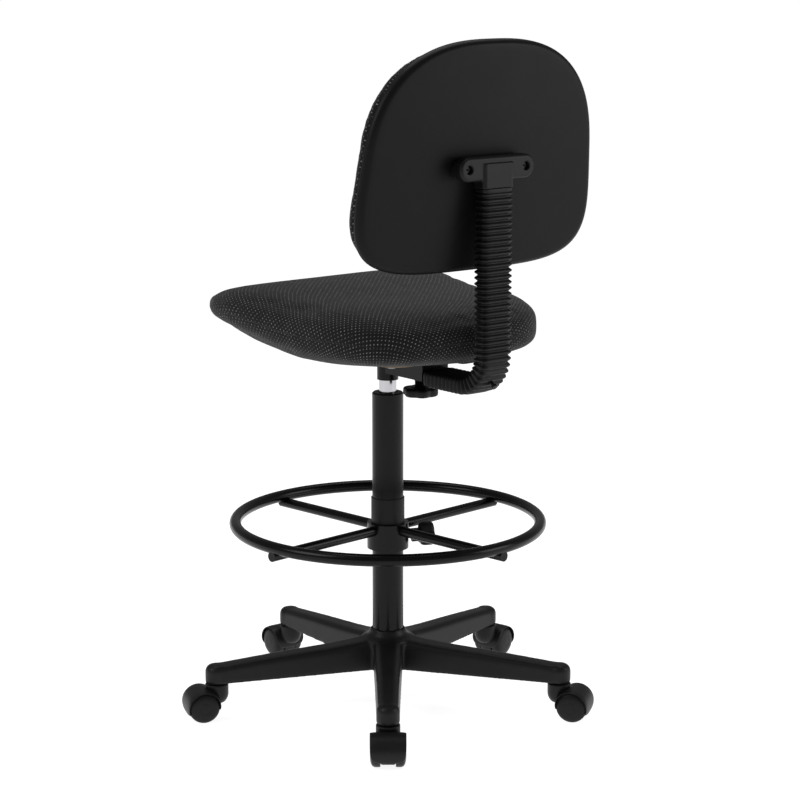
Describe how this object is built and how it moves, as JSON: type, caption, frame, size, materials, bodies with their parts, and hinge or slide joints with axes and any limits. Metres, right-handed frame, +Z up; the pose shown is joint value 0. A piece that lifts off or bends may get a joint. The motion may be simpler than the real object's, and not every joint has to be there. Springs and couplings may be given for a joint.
{
  "type": "drafting chair",
  "caption": "Drafting chair: padded dotted-cloth seat and back on a bellows-covered post, gas lift, clamped foot ring, five-arm base with twin-wheel casters.",
  "frame": {"origin": "on the column axis at floor level", "axes": "+Z up, the sitter looks towards -Y, the backrest stands at +Y"},
  "size_m": [0.6596, 0.639, 1.076],
  "materials": {
    "black_nylon": "satin moulded black nylon",
    "wheel_nylon": "satin black nylon",
    "plain_steel": "zinc-plated steel",
    "black_paint": "semi-gloss black powder coat",
    "chrome_tube": "polished chrome",
    "black_plastic": "matte black plastic",
    "shell_plastic": "fine-grained black plastic",
    "bellows_rubber": "ribbed black rubber",
    "seat_fabric": "black cloth woven with small pale dots",
    "lining_fabric": "thin black non-woven lining",
    "plywood": "raw plywood"
  },
  "bodies": {
    "base": {"base_star": "black_nylon", "outer_column": "black_paint", "column_bush": "black_plastic", "thrust_bearing": "plain_steel", "caster_sockets": "plain_steel"},
    "spindle": {"piston_rod": "plain_steel", "rod_clip": "plain_steel"},
    "seat_frame": {"gas_cylinder": "chrome_tube", "plate_socket": "black_paint", "seat_plate": "black_paint", "bar_channel": "black_paint", "release_pin": "plain_steel", "seat_board": "plywood", "seat_lining": "lining_fabric", "seat_cushion": "seat_fabric", "seat_bolts": "plain_steel"},
    "lever": {"lift_lever": "black_paint", "lever_grip": "black_plastic"},
    "depth_clamp": {"depth_knob": "black_plastic", "depth_screw": "plain_steel"},
    "back_post": {"back_bar": "black_paint", "bellows": "bellows_rubber", "bellows_peg": "black_plastic"},
    "backrest": {"back_bracket": "black_plastic", "back_shell": "shell_plastic", "back_board": "plywood", "back_cushion": "seat_fabric", "bracket_screws": "plain_steel"},
    "ring_slider": {"ring_sleeve": "black_plastic"},
    "foot_ring": {"ring_hoop": "black_paint", "ring_hub": "black_paint", "ring_spokes": "black_paint", "spoke_caps": "black_plastic"},
    "ring_clamp": {"ring_knob": "black_plastic", "ring_screw": "plain_steel"},
    "caster_1": {"caster_1_hood": "black_nylon", "caster_1_pins": "plain_steel"},
    "caster_1_wheel_left": {"caster_1_wheel_left": "wheel_nylon"},
    "caster_1_wheel_right": {"caster_1_wheel_right": "wheel_nylon"},
    "caster_2": {"caster_2_hood": "black_nylon", "caster_2_pins": "plain_steel"},
    "caster_2_wheel_left": {"caster_2_wheel_left": "wheel_nylon"},
    "caster_2_wheel_right": {"caster_2_wheel_right": "wheel_nylon"},
    "caster_3": {"caster_3_hood": "black_nylon", "caster_3_pins": "plain_steel"},
    "caster_3_wheel_left": {"caster_3_wheel_left": "wheel_nylon"},
    "caster_3_wheel_right": {"caster_3_wheel_right": "wheel_nylon"},
    "caster_4": {"caster_4_hood": "black_nylon", "caster_4_pins": "plain_steel"},
    "caster_4_wheel_left": {"caster_4_wheel_left": "wheel_nylon"},
    "caster_4_wheel_right": {"caster_4_wheel_right": "wheel_nylon"},
    "caster_5": {"caster_5_hood": "black_nylon", "caster_5_pins": "plain_steel"},
    "caster_5_wheel_left": {"caster_5_wheel_left": "wheel_nylon"},
    "caster_5_wheel_right": {"caster_5_wheel_right": "wheel_nylon"}
  },
  "joints": [
    {"name": "seat_swivel", "type": "hinge", "parent": "base", "child": "spindle", "pos_m": [0, 0, 0.071], "axis": [0, 0, 1], "continuous": true},
    {"name": "seat_lift", "type": "slide", "parent": "spindle", "child": "seat_frame", "axis": [0, 0, 1], "range_m": [0, 0.115]},
    {"name": "lift_lever", "type": "hinge", "parent": "seat_frame", "child": "lever", "pos_m": [-0.022, 0, 0.5703], "axis": [0, 1, 0], "range_deg": [0, 5], "stiffness_Nm_per_rad": 1.2, "springref_deg": -20.05},
    {"name": "depth_knob_turn", "type": "hinge", "parent": "seat_frame", "child": "depth_clamp", "pos_m": [0, 0.081, 0.524], "axis": [0, 0, 1], "continuous": true},
    {"name": "back_depth", "type": "slide", "parent": "seat_frame", "child": "back_post", "axis": [0, 1, 0], "range_m": [0, 0.04]},
    {"name": "back_height", "type": "slide", "parent": "back_post", "child": "backrest", "axis": [0, 0, 1], "range_m": [0, 0.06], "deforming": ["bellows"]},
    {"name": "ring_height", "type": "slide", "parent": "base", "child": "ring_slider", "axis": [0, 0, 1], "range_m": [-0.12, 0.15]},
    {"name": "ring_turn", "type": "hinge", "parent": "ring_slider", "child": "foot_ring", "pos_m": [0, 0, 0.278], "axis": [0, 0, 1], "continuous": true},
    {"name": "ring_knob_turn", "type": "hinge", "parent": "foot_ring", "child": "ring_clamp", "pos_m": [-0.04739, 0.0214, 0.274], "axis": [-0.9114, 0.4115, 0], "continuous": true},
    {"name": "caster_1_swivel", "type": "hinge", "parent": "base", "child": "caster_1", "pos_m": [0.18115, 0.22132, 0.06], "axis": [0, 0, 1], "continuous": true},
    {"name": "caster_1_left_roll", "type": "hinge", "parent": "caster_1", "child": "caster_1_wheel_left", "pos_m": [0.19698, 0.24066, 0.025], "axis": [-0.7738, 0.6334, 0], "continuous": true},
    {"name": "caster_1_right_roll", "type": "hinge", "parent": "caster_1", "child": "caster_1_wheel_right", "pos_m": [0.19698, 0.24066, 0.025], "axis": [-0.7738, 0.6334, 0], "continuous": true},
    {"name": "caster_2_swivel", "type": "hinge", "parent": "base", "child": "caster_2", "pos_m": [-0.15451, 0.24067, 0.06], "axis": [0, 0, 1], "continuous": true},
    {"name": "caster_2_left_roll", "type": "hinge", "parent": "caster_2", "child": "caster_2_wheel_left", "pos_m": [-0.16801, 0.26171, 0.025], "axis": [-0.8415, -0.5402, 0], "continuous": true},
    {"name": "caster_2_right_roll", "type": "hinge", "parent": "caster_2", "child": "caster_2_wheel_right", "pos_m": [-0.16801, 0.26171, 0.025], "axis": [-0.8415, -0.5402, 0], "continuous": true},
    {"name": "caster_3_swivel", "type": "hinge", "parent": "base", "child": "caster_3", "pos_m": [-0.27664, -0.07257, 0.06], "axis": [0, 0, 1], "continuous": true},
    {"name": "caster_3_left_roll", "type": "hinge", "parent": "caster_3", "child": "caster_3_wheel_left", "pos_m": [-0.30082, -0.07892, 0.025], "axis": [0.2538, -0.9673, 0], "continuous": true},
    {"name": "caster_3_right_roll", "type": "hinge", "parent": "caster_3", "child": "caster_3_wheel_right", "pos_m": [-0.30082, -0.07892, 0.025], "axis": [0.2538, -0.9673, 0], "continuous": true},
    {"name": "caster_4_swivel", "type": "hinge", "parent": "base", "child": "caster_4", "pos_m": [-0.01646, -0.28553, 0.06], "axis": [0, 0, 1], "continuous": true},
    {"name": "caster_4_left_roll", "type": "hinge", "parent": "caster_4", "child": "caster_4_wheel_left", "pos_m": [-0.0179, -0.31048, 0.025], "axis": [0.9983, -0.0576, 0], "continuous": true},
    {"name": "caster_4_right_roll", "type": "hinge", "parent": "caster_4", "child": "caster_4_wheel_right", "pos_m": [-0.0179, -0.31048, 0.025], "axis": [0.9983, -0.0576, 0], "continuous": true},
    {"name": "caster_5_swivel", "type": "hinge", "parent": "base", "child": "caster_5", "pos_m": [0.26646, -0.10389, 0.06], "axis": [0, 0, 1], "continuous": true},
    {"name": "caster_5_left_roll", "type": "hinge", "parent": "caster_5", "child": "caster_5_wheel_left", "pos_m": [0.28976, -0.11297, 0.025], "axis": [0.3633, 0.9317, 0], "continuous": true},
    {"name": "caster_5_right_roll", "type": "hinge", "parent": "caster_5", "child": "caster_5_wheel_right", "pos_m": [0.28976, -0.11297, 0.025], "axis": [0.3633, 0.9317, 0], "continuous": true}
  ]
}
